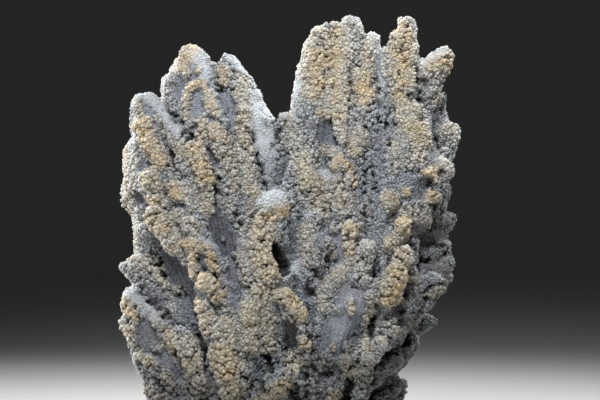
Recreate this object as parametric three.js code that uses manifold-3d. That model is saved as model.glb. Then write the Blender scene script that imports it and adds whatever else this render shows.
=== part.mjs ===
// A calcite specimen: one grown mass of blunt scalenohedral spires that fan out of a broken-off foot,
// in two lobes with a notch between them. Millimetres, +Z up, front towards -Y, origin under the middle
// of the flat foot. It is one solid, because the crystals grew together.
import * as THREE from "three";
import { mergeVertices } from "three/addons/utils/BufferGeometryUtils.js";
import Module from "manifold-3d";

const wasm = await Module();
wasm.setup();

// ---- driving dimensions -------------------------------------------------------------------------
const ROOT_PULL = 0.35; // how much of its tip's depth a spire keeps at its root
const FULL_WIDTH_AT = 34; // distance from the tip at which a long spire is fully wide
// Gaps between a spire's rings from the tip down, and how blunt the tip is as a share of its width:
const PLACED = { gaps: [0.6, 3.4, 7, 12], blunt: 0.16 }; // for a spire of its own
const RANKED = { gaps: [0.9, 8], blunt: 0.34 }; // and for one in the ranks that clothe the sides
const KNOBS = [0.86, 1.2]; // how far the beaded edges of a spire draw in and swell, ring by ring
const FAN_CENTRE = { x: -4, z: 4 }; // the point that the spires of the back spread from
const SEED = 20;

// One row a spire: tip x, y, z, lean to the right in degrees, length, full width, full depth.
// Broad spires have rounded shoulders, crests show a sharp edge to the front, and blades a flat face.
const LEFT_BROAD = [
  [-31.5, 0, 121, -12, 100, 27, 18], // main spire of the left lobe
  [-19.5, 0, 119, -10, 100, 19, 16],
  [-11, 4, 104.5, -6, 90, 15, 14],
  [-5, -17, 77, 7, 66, 17, 16], // middle spire with a pale knob for a tip
];
const LEFT_CRESTS = [
  [-38, 3, 113, -10, 80, 12, 10],
  [-24.5, 2, 115, -11, 90, 13, 12],
  [-50, 1, 92, -14, 60, 13, 14],
  [-51, 1, 81, -20, 60, 15, 15],
  [-45, -6, 99, -25, 40, 8, 8],
  [-43, -9, 83, -28, 45, 9, 9],
  [-35, -8, 95, -22, 50, 8, 8],
  [-30, -10, 92, -19, 55, 9, 9],
  [-23, -8, 98, -14, 60, 8, 9],
  [-15.5, -6, 103, -6, 70, 8, 9],
  [-28, -5, 101, -15, 40, 6, 7],
];
const LEFT_BLADES = [
  [-45.5, -1, 107, -19, 90, 24, 14], // outer spire of the left lobe
  [-51, -3, 57.5, -54, 45, 16, 14],
  [-48, -8, 48.5, -27, 50, 22, 17], // low blade with its bare face to the front
  [-29.5, -15, 70.5, -20, 52, 16, 11],
];
const LEFT_FRONT = [
  [-42, -12, 72, -38, 40, 9, 10],
  [-26, -18, 52, -38, 30, 8, 8],
  [-27, -19, 46, -22, 34, 7, 9],
  [-34, -16, 38, -28, 34, 11, 10],
  [-21, -21, 41, -10, 40, 12, 12],
  [-12, -21, 49, 2, 46, 12, 12],
  [-2.5, -22, 49, -20, 40, 12, 10],
  [1.5, -18, 56.5, 38, 36, 6, 8],
  [1, -25, 27, 50, 26, 8, 8],
];
const RIGHT_BROAD = [
  [8.5, -1, 127, 4, 110, 17.5, 17], // double main spire of the right lobe
  [17.5, 0, 130.5, 5, 110, 17, 17],
  [34.5, 0, 129.5, 8, 110, 16.5, 16],
  [36.5, -6, 104.5, 10, 80, 18, 13],
  [46.5, 2, 120, 38, 60, 15, 14],
];
const RIGHT_CRESTS = [
  [-3, 2, 101.5, 2, 85, 12, 13],
  [2, 2, 107, 3, 70, 9, 11],
  [13, 1, 125.5, 4, 80, 11, 12],
  [23.5, 1, 123, 5, 100, 13, 14],
  [27.5, 3, 118, 6, 100, 14, 13],
  [41, 2, 113, 20, 80, 16, 14],
  [46, 9, 108.5, 3, 40, 5, 5],
  [44.5, 9, 104.5, 10, 60, 11, 12],
  [42.5, 6, 109, 12, 60, 9, 11],
  [50.5, 10, 98, 28, 60, 14, 13],
  [40.5, 9, 108, 14, 70, 15, 12],
  [15, -7, 102, 3, 70, 10, 10],
  [6, -8, 96, 2, 60, 12, 9],
  [0, -7, 86, 2, 60, 12, 11],
];
const RIGHT_BLADES = [
  [47, 0, 86.5, 38, 60, 18, 12],
  [14, -11, 87.5, -6, 60, 10, 9],
  [42.5, -4, 77, 50, 40, 11, 11],
  [23, -17, 53, 38, 48, 18, 11], // smooth slanting blade low on the right
  [27, -16, 33, 58, 40, 13, 10],
];
const RIGHT_FRONT = [
  [28.5, -11, 77.5, 16, 60, 12, 10],
  [33.5, -13, 69, 36, 45, 11, 11],
  [33, -14, 61, 20, 40, 9, 10],
  [32, -16, 56, 40, 40, 12, 12],
  [22, -17, 63, 12, 40, 9, 9],
  [17, -15, 68, 6, 50, 8, 9],
  [22, -19, 29, 12, 26, 7, 8],
  [31, -12, 39, 40, 34, 11, 10],
  [9, -16, 66, 14, 50, 12, 10],
];
const RIGHT_REAR = [
  [49.5, 10, 68, 72, 40, 11, 12],
  [48, 6, 62, 62, 45, 16, 15],
  [48.5, 7, 52, 76, 45, 17, 16],
  [45, 15, 38, 78, 40, 11, 11],
  [38, 6, 33, 60, 38, 18, 18],
  [34, 8, 20, 55, 34, 20, 20],
];

// Blunt blocks that close the right edge between those spires.
const RIGHT_EDGE = [
  [50, 9, 70, 64, 30, 14, 13],
  [49, 7, 57, 72, 30, 17, 16],
  [47.5, 10, 80, 40, 30, 13, 12],
  [50.5, 10, 94, 52, 20, 12, 12],
  [42, 9, 44, 70, 26, 15, 14],
];

// The fan's reach from its centre at each lean, which the spires of the back keep inside.
const REACH = [
  [-60, 50],
  [-46, 60],
  [-32, 84],
  [-20, 106],
  [-8, 112],
  [0, 94],
  [8, 122],
  [25, 122],
  [34, 97],
  [48, 72],
  [62, 54],
];
// Ranks of spires that clothe each side: share of that reach, depth of the tips, spires, width.
const FRONT_RANKS = [
  [0.87, -4, 8, 13],
  [0.72, -8, 6, 13],
  [0.58, -12, 6, 13],
  [0.44, -15, 5, 13],
  [0.31, -17, 4, 13],
  [0.2, -18.5, 3, 14],
];
const BACK_RANKS = [
  [0.93, 6, 6, 19],
  [0.8, 12, 7, 18],
  [0.65, 17, 6, 19],
  [0.5, 20.5, 5, 19],
  [0.36, 22.5, 4, 18],
  [0.22, 21.5, 4, 16],
];
// The masses that the spires grew from, in the trunk and in each lobe: rings of height, middle x,
// half width and half depth, below a peak of x, y, z.
const TRUNK = [
  [-6, -8, 25, 13],
  [5, -8, 28, 14],
  [14, -7, 30, 15],
  [28, -5, 34, 15],
  [46, -2, 33, 15.5],
  [62, -1, 29, 13],
];
const TRUNK_PEAK = [2, 0, 88];
const LEFT_LOBE = [
  [42, -18, 18, 14.5],
  [64, -23, 19, 12],
  [84, -26, 17, 8.5],
  [100, -29, 12, 6.5],
];
const LEFT_LOBE_PEAK = [-30, 0, 113];
const RIGHT_LOBE = [
  [42, 10, 20, 14.5],
  [64, 15, 23, 12.5],
  [84, 20, 22, 9.5],
  [102, 23, 17, 7],
];
const RIGHT_LOBE_PEAK = [24, 0, 119];
const MASS_SIDES = 12;
const MASS_SWELL = [0.86, 1.1]; // how far a mass's corners draw in and stand out
// Clefts and pits: x, y, z of the middle, lean, length, width, depth into the mass.
const CLEFTS = [
  [-3.2, -15, 57.5, -18, 9.5, 3, 26], // the dark hole beside the middle spire
  [11, -8, 93.5, -12, 8, 3.4, 12],
  [21.5, -9, 78, 3, 34, 2.4, 14],
  [-26, -14, 34, -14, 14, 2, 14],
  [6, -16, 49, -12, 10, 3, 14],
  [-22.5, -9, 80, -14, 13, 2.4, 12],
  [-39, -12, 56, -38, 12, 3, 12],
  [25, -15, 41, 20, 10, 4, 14],
  [30, -10, 30, 60, 12, 5, 12],
  [-4.7, -2, 99, -3, 22, 3, 34], // the notch's own narrow bottom
];

// ---- solids -------------------------------------------------------------------------------------
// A cross-section's corners, anticlockwise from above; x is across the spire and -y is its front.
const SECTIONS = {
  broad: [
    [-1, -0.1],
    [-0.62, -0.78],
    [0.05, -1],
    [0.66, -0.72],
    [1, -0.05],
    [0.66, 0.72],
    [-0.66, 0.72],
  ],
  crest: [
    [-1, -0.12],
    [0, -1],
    [1, -0.12],
    [0.72, 0.66],
    [0, 1],
    [-0.72, 0.66],
  ],
  blade: [
    [-1, -0.25],
    [-0.62, -1],
    [0.66, -1],
    [1, -0.2],
    [0.6, 0.85],
    [-0.6, 0.85],
  ],
};
let state = SEED;
function random(low = 0, high = 1) {
  state = (state * 1664525 + 1013904223) % 4294967296;
  return low + (state / 4294967296) * (high - low);
}

function solidFrom(geometry) {
  const bare = geometry.clone();
  bare.deleteAttribute("normal");
  bare.deleteAttribute("uv");
  const merged = mergeVertices(bare, 1e-4);
  return new wasm.Manifold(
    new wasm.Mesh({
      numProp: 3,
      vertProperties: new Float32Array(merged.attributes.position.array),
      triVerts: new Uint32Array(merged.index.array),
    }),
  );
}

function geometryFrom(solid) {
  const { vertProperties, triVerts } = solid.getMesh();
  const geometry = new THREE.BufferGeometry();
  geometry.setAttribute("position", new THREE.BufferAttribute(vertProperties, 3));
  geometry.setIndex(new THREE.BufferAttribute(triVerts, 1));
  return geometry;
}

// A solid from rings of equal corner counts, lowest first, closed below by a flat fan and above at peak.
function loft(rings, peak) {
  const corners = rings[0].length;
  const floor = new THREE.Vector3();
  rings[0].forEach((p) => floor.addScaledVector(p, 1 / corners));
  const points = [...rings.flat(), floor, peak];
  const top = (rings.length - 1) * corners;
  const faces = [];
  for (let c = 0; c < corners; c++) {
    const next = (c + 1) % corners;
    for (let low = 0; low < top; low += corners) {
      const high = low + corners;
      faces.push(low + c, low + next, high + next, low + c, high + next, high + c);
    }
    faces.push(points.length - 2, next, c, points.length - 1, top + c, top + next);
  }
  return new THREE.BufferGeometry().setFromPoints(points).setIndex(faces);
}

// The axis and the cross axes of a spire, from its table row.
function frameOf([x, y, z, lean, length]) {
  const angle = THREE.MathUtils.degToRad(lean);
  const tip = new THREE.Vector3(x, y, z);
  const root = new THREE.Vector3(
    x - length * Math.sin(angle),
    y * ROOT_PULL,
    z - length * Math.cos(angle),
  );
  const up = tip.clone().sub(root).normalize();
  const across = new THREE.Vector3(Math.cos(angle), 0, -Math.sin(angle));
  const front = up.clone().cross(across).normalize();
  return { tip, up, across, front, span: tip.distanceTo(root) };
}

function spire(row, section, { gaps, blunt }) {
  const { tip, up, across, front, span } = frameOf(row);
  const [, , , , , width, depth] = row;
  const shift = random(-0.22, 0.22);
  const full = Math.min(FULL_WIDTH_AT, span * 0.75) * Math.min(1, width / 12 + 0.3);
  const ringAt = (back) => {
    const share = Math.min(1, blunt + (1 - blunt) * (back / full) ** 0.62);
    return SECTIONS[section].map(([u, v]) => {
      const skew = Math.abs(u) < 0.5 ? shift : 0;
      const knob = share * random(...KNOBS);
      return tip
        .clone()
        .addScaledVector(up, -back)
        .addScaledVector(across, (u + skew) * knob * (width / 2))
        .addScaledVector(front, v * knob * (depth / 2));
    });
  };
  const rings = [];
  let back = 0;
  for (const gap of gaps) {
    back += gap;
    if (back < span * 0.8) rings.push(ringAt(back));
  }
  rings.push(ringAt(span));
  return solidFrom(loft(rings.reverse(), tip));
}

function reachAt(lean) {
  for (let k = 0; k + 1 < REACH.length; k++) {
    const [a, low] = REACH[k];
    const [b, high] = REACH[k + 1];
    if (lean <= b) return low + ((high - low) * (lean - a)) / (b - a);
  }
  return REACH.at(-1)[1];
}

// Rows for the spires of one side, spread over the fan with a little disorder.
function rankRows(ranks) {
  const rows = [];
  for (const [share, depth, count, width] of ranks)
    for (let k = 0; k < count; k++) {
      const lean = -52 + (106 * (k + random(0.25, 0.75))) / count;
      const reach = reachAt(lean) * share * random(0.93, 1.03);
      const angle = THREE.MathUtils.degToRad(lean);
      rows.push([
        FAN_CENTRE.x + reach * Math.sin(angle),
        depth * random(0.92, 1.06),
        FAN_CENTRE.z + reach * Math.cos(angle),
        lean,
        reach * 0.9,
        width * random(0.8, 1.1),
        width * random(0.65, 0.9),
      ]);
    }
  return rows;
}

function mass(levels, peak) {
  const rings = levels.map(([z, x, halfWidth, halfDepth]) =>
    Array.from({ length: MASS_SIDES }, (_, k) => {
      const angle = (2 * Math.PI * k) / MASS_SIDES;
      const swell = random(...MASS_SWELL);
      return new THREE.Vector3(
        x + halfWidth * swell * Math.cos(angle),
        halfDepth * swell * Math.sin(angle),
        z,
      );
    }),
  );
  return solidFrom(loft(rings, new THREE.Vector3(...peak)));
}

// A slender double pyramid that opens a cleft, pointing into the mass.
function cleft([x, y, z, lean, length, width, depth]) {
  const gap = new THREE.OctahedronGeometry(1, 0);
  gap.scale(width / 2, depth, length / 2);
  gap.rotateY(THREE.MathUtils.degToRad(lean));
  gap.translate(x, y - depth * 0.35, z);
  return solidFrom(gap);
}

function specimen() {
  const groups = [
    [LEFT_BROAD, "broad", PLACED],
    [RIGHT_BROAD, "broad", PLACED],
    [LEFT_CRESTS, "crest", PLACED],
    [LEFT_BLADES, "blade", PLACED],
    [LEFT_FRONT, "crest", PLACED],
    [RIGHT_CRESTS, "crest", PLACED],
    [RIGHT_BLADES, "blade", PLACED],
    [RIGHT_FRONT, "crest", PLACED],
    [RIGHT_REAR, "crest", PLACED],
    [rankRows(FRONT_RANKS), "crest", RANKED],
    [rankRows(BACK_RANKS), "crest", RANKED],
    [RIGHT_EDGE, "broad", PLACED],
  ];
  const solids = [
    mass(TRUNK, TRUNK_PEAK),
    mass(LEFT_LOBE, LEFT_LOBE_PEAK),
    mass(RIGHT_LOBE, RIGHT_LOBE_PEAK),
  ];
  for (const [rows, section, tip] of groups)
    for (const row of rows) solids.push(spire(row, section, tip));
  const clefts = wasm.Manifold.union(CLEFTS.map(cleft));
  const below = new THREE.BoxGeometry(400, 400, 60).translate(0, 0, -30);
  const shells = wasm.Manifold.union(solids).subtract(clefts).subtract(solidFrom(below)).decompose();
  // The outer shell alone: the small hollows shut in between spires are filled.
  return shells.reduce((most, shell) => (shell.volume() > most.volume() ? shell : most));
}

// ---- the part -----------------------------------------------------------------------------------
const calcite = new THREE.MeshStandardMaterial({
  color: 0xb3aa98,
  roughness: 0.55,
  metalness: 0,
});

const part = new THREE.Group();
const geometry = geometryFrom(specimen());
geometry.computeBoundingBox();
const { min, max } = geometry.boundingBox;
const cluster = new THREE.Mesh(geometry, calcite);
cluster.name = "calcite_cluster";
cluster.position.set(-(min.x + max.x) / 2, -(min.y + max.y) / 2, 0);
part.add(cluster);

export default part;
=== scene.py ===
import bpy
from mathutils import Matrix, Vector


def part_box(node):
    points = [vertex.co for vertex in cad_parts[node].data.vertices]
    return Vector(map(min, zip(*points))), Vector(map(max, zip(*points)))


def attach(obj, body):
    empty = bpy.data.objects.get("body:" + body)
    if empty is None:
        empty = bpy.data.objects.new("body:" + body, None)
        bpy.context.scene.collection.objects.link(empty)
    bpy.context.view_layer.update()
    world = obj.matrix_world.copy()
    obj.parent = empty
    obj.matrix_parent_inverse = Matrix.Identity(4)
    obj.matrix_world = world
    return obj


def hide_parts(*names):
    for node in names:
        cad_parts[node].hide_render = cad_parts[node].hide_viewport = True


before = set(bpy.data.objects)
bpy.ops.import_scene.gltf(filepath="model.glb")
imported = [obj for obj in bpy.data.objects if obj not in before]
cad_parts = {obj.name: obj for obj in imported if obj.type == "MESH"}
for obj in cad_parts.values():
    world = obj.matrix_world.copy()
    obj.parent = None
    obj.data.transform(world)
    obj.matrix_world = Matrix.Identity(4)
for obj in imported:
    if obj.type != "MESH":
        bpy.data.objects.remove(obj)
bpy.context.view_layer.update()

import math
from types import SimpleNamespace

import bmesh
import bpy
import numpy as np
from mathutils import Vector, noise

bl_info = {
    "name": "Calcite specimen",
    "version": (1, 0, 0),
    "blender": (4, 5, 0),
    "location": "View3D > Sidebar > Specimen",
    "description": "Dresses the packed calcite cluster with its druse, stain and studio",
    "category": "Object",
}

MM = 0.001
NODE = "calcite_cluster"
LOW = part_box(NODE)[0]
# The spires spread from this point of the front plane, in millimetres.
FAN = (-3.5, 4.0)
# The foot's flat cut and the bare strip above it, in metres over the lowest point.
FOOT_BAND = 0.0006
FOOT_EDGE = 0.0003
BARE_STRIP = (0.0012, 0.0020)
# The marks' full height comes in over this much of the foot.
FOOT_RISE = 0.003
# Quads for closing the cracks, and the triangles that the finished skin keeps.
ROUGH_VOXEL = 0.0007
SKIN_TRIANGLES = 190000
# Left and right panels of the druse meet at this x; the back ones start at this slope of the normal.
PANEL_SEAM = -8 * MM
PANEL_SLOPE = 0.15
PANELS = ("front_left", "front_right", "back_left", "back_right")
# The coat's crystals: kind, seed, spacing in front and behind, smallest and largest radius in
# millimetres, lift in radii, and the brightest tone.
COAT = (
    ("knob", 3, 1.02, 1.02, 0.44, 0.72, -0.10, 1.10),
    ("druse", 11, 0.82, 0.79, 0.36, 0.66, -0.20, 1.00),
    # The sugar's lower brightest tone is painted shade on the low grains between the larger crystals.
    ("sugar", 23, 0.58, 0.62, 0.26, 0.44, -0.12, 0.85),
)
# Calcite lets light in for about a millimetre, a little further for the warm colours.
TRANSLUCENCY = {
    "Subsurface Weight": 0.35,
    "Subsurface Radius": (0.0013, 0.0012, 0.0010),
    "Subsurface Scale": 1.0,
}
# The lamps: name, place, width, watts, spread in degrees, tint.
LAMPS = (
    ("key_lamp", (-0.04, -0.24, 0.34), 0.16, 0.26, 62, (0.905, 0.95, 1.0)),
    ("fill_lamp", (-0.5, -0.6, 0.3), 0.6, 0.16, 180, (0.93, 0.96, 1.0)),
    ("left_rim_lamp", (-0.5, 0.2, 0.26), 0.25, 1.05, 60, (0.96, 0.98, 1.0)),
    ("right_rim_lamp", (0.32, 0.20, 0.54), 0.25, 0.7, 60, (0.96, 0.98, 1.0)),
)

# The front's own marks, in millimetres across and up in the specimen's frame, each along a line from
# its first x, z to its second. Ridges of fused crystals: line, half width, height, iron stain.
RIDGES = [
    # outer spire of the left lobe
    (-46.2, 104.0, -44.8, 98.5, 1.2, 0.6, 0.60),
    (-44.2, 97.0, -39.2, 86.5, 2.5, 1.2, 0.85),
    (-39.5, 99.5, -33.5, 90.0, 1.7, 0.9, 0.20),
    (-46.8, 92.0, -46.0, 86.0, 1.6, 0.6, 0.15),
    (-50.0, 89.0, -49.4, 81.0, 1.8, 0.8, 0.55),
    (-49.2, 77.5, -48.4, 70.0, 1.8, 0.8, 0.40),
    (-47.6, 66.0, -46.4, 61.0, 1.6, 0.8, 0.45),
    # main spire of the left lobe
    (-32.8, 115.5, -30.4, 120.0, 2.3, 0.5, 0.90),
    (-31.5, 111.5, -31.8, 115.0, 1.1, 0.7, 0.45),
    (-28.6, 113.6, -28.2, 113.9, 1.1, 0.6, 0.80),
    (-31.3, 99.5, -31.4, 106.5, 1.2, 1.1, 0.55),
    (-30.4, 108.2, -27.2, 109.8, 1.1, 1.1, 0.75),
    (-26.3, 109.3, -22.5, 100.2, 1.2, 1.0, 0.65),
    (-24.6, 105.5, -19.2, 98.0, 1.6, 0.9, 0.05),
    (-37.6, 110.0, -35.6, 103.0, 2.3, 0.7, 0.12),
    (-31.4, 97.2, -29.2, 98.4, 1.1, 1.0, 0.10),
    (-26.0, 98.4, -27.4, 92.0, 1.5, 1.1, 0.55),
    (-28.4, 89.5, -24.8, 80.8, 2.4, 1.4, 0.85),
    (-22.6, 95.3, -20.0, 88.8, 2.3, 1.0, 0.60),
    (-33.0, 91.0, -32.0, 84.5, 1.9, 0.8, 0.25),
    (-17.8, 92.0, -18.0, 78.0, 1.9, 0.9, 0.30),
    # third spire of the left lobe
    (-20.2, 113.4, -20.4, 110.0, 1.9, 0.8, 0.60),
    (-15.2, 112.0, -14.6, 104.0, 1.6, 0.6, 0.30),
    (-14.2, 101.0, -12.6, 80.0, 1.9, 1.1, 0.40),
    (-9.0, 107.0, -6.0, 99.0, 1.9, 1.9, 0.05),
    # middle height of the left lobe
    (-42.0, 82.0, -41.2, 79.5, 2.3, 1.0, 0.65),
    (-41.0, 76.4, -39.2, 73.6, 1.6, 1.0, 0.75),
    (-35.8, 79.2, -33.0, 76.2, 1.8, 1.0, 0.75),
    (-47.5, 82.0, -47.0, 79.0, 2.2, 0.7, 0.25),
    (-44.8, 71.5, -43.6, 66.0, 2.0, 0.7, 0.10),
    (-30.5, 79.5, -29.5, 73.0, 2.0, 0.8, 0.20),
    (-25.5, 76.8, -24.5, 72.0, 2.0, 0.8, 0.40),
    (-18.0, 76.5, -17.2, 71.5, 1.8, 0.9, 0.20),
    (-11.8, 77.8, -11.2, 76.8, 2.1, 1.1, 0.50),
    (-21.6, 82.6, -21.4, 82.4, 1.3, 1.2, 0.15),
    (-12.5, 72.5, -11.8, 66.0, 2.2, 0.8, 0.25),
    # the slanting spires under it
    (-41.0, 70.2, -33.8, 61.8, 2.2, 1.3, 0.65),
    (-35.2, 70.4, -27.4, 66.4, 1.9, 1.1, 0.35),
    (-29.8, 62.2, -24.6, 60.4, 1.4, 1.2, 0.95),
    (-24.6, 60.4, -22.1, 54.4, 1.3, 1.2, 0.95),
    (-28.9, 61.0, -27.6, 53.4, 1.5, 1.0, 0.75),
    (-25.0, 52.0, -21.2, 47.2, 1.9, 1.2, 0.95),
    (-26.7, 45.0, -25.4, 41.6, 1.3, 1.0, 0.80),
    (-24.6, 41.2, -23.4, 37.2, 1.8, 1.2, 0.55),
    (-47.0, 58.0, -39.0, 53.6, 2.2, 1.1, 0.35),
    (-38.4, 51.0, -33.6, 48.6, 1.1, 0.9, 0.35),
    # the low blade and the foot of the left lobe
    (-48.6, 44.4, -46.2, 41.0, 1.9, 0.8, 0.80),
    (-48.6, 38.5, -46.2, 33.0, 1.4, 0.9, 0.40),
    (-44.2, 29.8, -41.0, 27.2, 1.5, 1.0, 0.50),
    (-40.2, 39.6, -37.4, 37.6, 1.4, 0.9, 0.25),
    (-40.8, 31.8, -38.4, 31.2, 1.0, 0.9, 0.15),
    (-35.8, 35.4, -33.8, 32.4, 1.8, 1.0, 0.75),
    (-30.4, 32.0, -27.0, 21.5, 3.0, 1.4, 0.40),
    (-37.0, 24.0, -35.4, 20.5, 1.6, 0.8, 0.35),
    (-41.0, 18.2, -36.8, 15.4, 2.3, 1.1, 0.35),
    (-18.6, 40.0, -18.2, 32.0, 2.9, 1.5, 0.40),
    (-20.0, 31.0, -19.0, 25.5, 2.6, 1.5, 0.90),
    (-17.0, 27.0, -16.8, 17.0, 3.2, 1.6, 0.60),
    # the middle spire and what stands at its foot
    (-7.2, 74.0, -3.2, 74.8, 3.2, 1.6, 0.05),
    (-5.8, 70.8, -2.4, 72.2, 2.0, 0.8, 1.00),
    (-8.6, 68.6, -7.4, 63.0, 3.2, 1.0, 0.60),
    (-8.6, 60.6, -6.4, 53.0, 3.0, 1.2, 0.72),
    (-14.2, 58.6, -13.0, 51.5, 1.9, 0.9, 0.30),
    (-20.4, 51.0, -19.0, 43.6, 1.2, 0.8, 0.15),
    (-15.8, 70.2, -13.6, 62.0, 1.3, 0.9, 0.20),
    (-20.0, 64.0, -19.8, 63.4, 0.5, 0.8, 0.05),
    (-17.0, 59.2, -16.8, 58.8, 0.6, 0.9, 0.05),
    (-8.8, 47.8, -8.4, 46.6, 2.6, 1.0, 0.75),
    (-11.8, 43.0, -11.6, 33.0, 2.4, 1.0, 0.55),
    (-7.4, 42.0, -6.8, 32.0, 2.0, 0.9, 0.50),
    (-3.4, 48.0, -0.2, 46.4, 1.9, 1.0, 0.85),
    (0.2, 45.6, 2.4, 41.4, 1.7, 1.0, 0.85),
    (-9.4, 16.2, -1.6, 22.4, 1.7, 1.4, 0.70),
    (-3.4, 19.4, -0.8, 21.4, 1.4, 1.0, 0.60),
    (0.8, 29.4, 1.8, 27.8, 2.2, 1.1, 0.55),
    (3.8, 34.4, 4.4, 33.0, 1.5, 1.0, 0.80),
    # double main spire of the right lobe
    (13.6, 123.4, 12.6, 112.0, 3.2, 0.7, 0.95),
    (6.4, 123.6, 8.6, 125.2, 1.2, 0.6, 0.50),
    (7.6, 118.5, 7.4, 107.5, 2.8, 0.6, 0.85),
    (18.0, 128.0, 18.2, 125.5, 2.4, 0.5, 0.25),
    (22.6, 120.0, 22.6, 114.0, 2.0, 0.6, 0.50),
    (21.2, 110.4, 21.8, 106.2, 2.8, 1.1, 0.95),
    (13.6, 108.0, 13.8, 100.4, 2.6, 0.8, 0.60),
    (9.6, 100.8, 10.6, 100.2, 1.5, 0.8, 0.75),
    (14.6, 97.4, 15.6, 92.4, 1.5, 1.0, 0.35),
    (18.0, 91.6, 18.6, 89.8, 2.0, 1.0, 0.50),
    (20.6, 95.4, 21.0, 92.0, 1.4, 0.8, 0.35),
    (10.0, 90.4, 12.2, 88.6, 1.4, 0.8, 0.45),
    (13.2, 84.4, 14.7, 86.6, 1.1, 0.9, 0.95),
    (14.7, 86.6, 16.8, 85.2, 1.1, 0.9, 0.95),
    (16.8, 85.2, 18.3, 80.2, 1.1, 0.9, 0.85),
    (-1.0, 99.0, 0.4, 92.0, 2.2, 0.8, 0.25),
    (3.4, 86.4, 4.6, 80.0, 2.6, 0.7, 0.50),
    (8.0, 79.6, 9.4, 73.0, 2.8, 0.7, 0.45),
    (14.6, 79.6, 15.8, 73.6, 2.4, 0.7, 0.45),
    (15.6, 125.0, 17.2, 104.0, 1.6, 1.6, 0.35),
    (10.6, 126.2, 13.2, 126.8, 1.3, 3.2, 0.30),
    (20.6, 127.0, 25.4, 119.6, 2.2, 1.2, 0.10),
    (21.8, 125.4, 23.8, 122.4, 1.3, 2.6, 0.10),
    (21.6, 126.4, 23.0, 120.6, 1.5, 1.9, 0.15),
    (3.0, 113.0, 5.6, 122.0, 2.0, 0.9, 0.15),
    # third and fourth spires of the right lobe
    (33.4, 125.4, 33.0, 111.0, 2.9, 0.6, 0.85),
    (32.0, 108.0, 33.4, 101.4, 2.5, 0.8, 0.60),
    (36.6, 103.2, 37.4, 101.6, 1.5, 0.9, 0.45),
    (42.6, 115.4, 47.4, 117.2, 2.3, 1.4, 0.75),
    (31.2, 123.0, 28.8, 112.0, 1.9, 1.0, 0.10),
    (29.8, 118.8, 28.6, 114.0, 1.7, 2.4, 0.10),
    (38.2, 121.0, 39.4, 112.0, 1.5, 0.9, 0.25),
    (46.2, 114.2, 42.8, 106.0, 2.4, 1.6, 0.30),
    (40.6, 111.6, 41.6, 104.0, 1.6, 1.2, 0.10),
    (35.4, 97.0, 37.8, 93.8, 3.0, 1.1, 0.80),
    (37.6, 91.4, 37.0, 87.2, 2.4, 0.9, 0.40),
    (30.0, 92.0, 30.6, 85.0, 2.2, 0.7, 0.25),
    (47.4, 97.0, 49.4, 95.0, 2.4, 0.9, 0.35),
    # the right edge
    (39.4, 83.0, 42.6, 84.4, 1.1, 1.0, 0.95),
    (43.1, 83.8, 42.6, 80.6, 1.0, 0.9, 1.00),
    (44.4, 86.0, 47.8, 83.4, 1.6, 0.9, 0.25),
    (41.2, 76.0, 40.8, 75.2, 1.5, 1.0, 1.00),
    (33.6, 77.8, 33.8, 77.4, 1.2, 1.0, 0.75),
    (29.0, 75.0, 29.0, 74.2, 2.3, 1.3, 0.65),
    (33.8, 72.2, 39.6, 69.6, 2.1, 0.9, 0.35),
    (33.2, 68.0, 33.0, 66.8, 2.2, 1.1, 0.95),
    (34.4, 65.8, 29.2, 61.8, 2.3, 1.0, 0.55),
    (32.6, 58.4, 32.4, 57.6, 2.4, 1.4, 0.60),
    (31.4, 53.6, 29.2, 47.4, 3.0, 1.5, 0.95),
    (35.6, 53.0, 36.0, 50.5, 1.6, 0.8, 0.20),
    (41.2, 46.8, 45.6, 49.6, 1.5, 1.0, 0.40),
    # the field below the right lobe
    (17.6, 66.4, 17.2, 60.4, 2.1, 1.1, 0.75),
    (12.2, 66.2, 13.0, 66.4, 1.5, 1.0, 0.30),
    (10.6, 61.8, 11.6, 61.0, 1.7, 1.0, 0.20),
    (12.4, 59.0, 12.6, 58.8, 1.2, 0.9, 0.50),
    (4.0, 66.0, 5.2, 58.0, 2.4, 0.8, 0.25),
    (22.6, 61.0, 21.0, 53.6, 2.0, 1.4, 0.15),
    (18.4, 57.2, 10.4, 49.6, 2.1, 1.0, 0.35),
    (25.4, 50.6, 23.2, 46.2, 1.7, 1.3, 0.30),
    (23.2, 46.2, 22.4, 37.4, 1.3, 1.2, 0.40),
    (17.2, 44.6, 17.8, 43.4, 1.4, 1.1, 0.55),
    (12.8, 43.6, 13.2, 43.2, 1.3, 1.0, 0.15),
    (8.6, 48.4, 9.6, 43.8, 1.3, 1.1, 0.30),
    (12.0, 32.2, 12.2, 31.8, 0.9, 0.8, 0.60),
    (16.4, 32.2, 16.8, 31.6, 1.0, 0.8, 0.20),
    (22.2, 33.8, 22.6, 32.8, 1.9, 1.0, 0.40),
    (26.2, 34.2, 26.6, 33.8, 1.3, 1.0, 0.55),
    (29.2, 38.4, 30.4, 36.4, 1.6, 0.9, 0.30),
    (9.4, 28.4, 9.8, 27.4, 2.2, 1.1, 0.15),
    (15.8, 27.6, 18.0, 24.2, 1.8, 1.1, 0.50),
    (22.0, 29.4, 22.2, 24.0, 1.7, 1.1, 0.35),
    (12.4, 18.4, 13.2, 16.4, 1.8, 1.0, 0.70),
]

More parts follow.
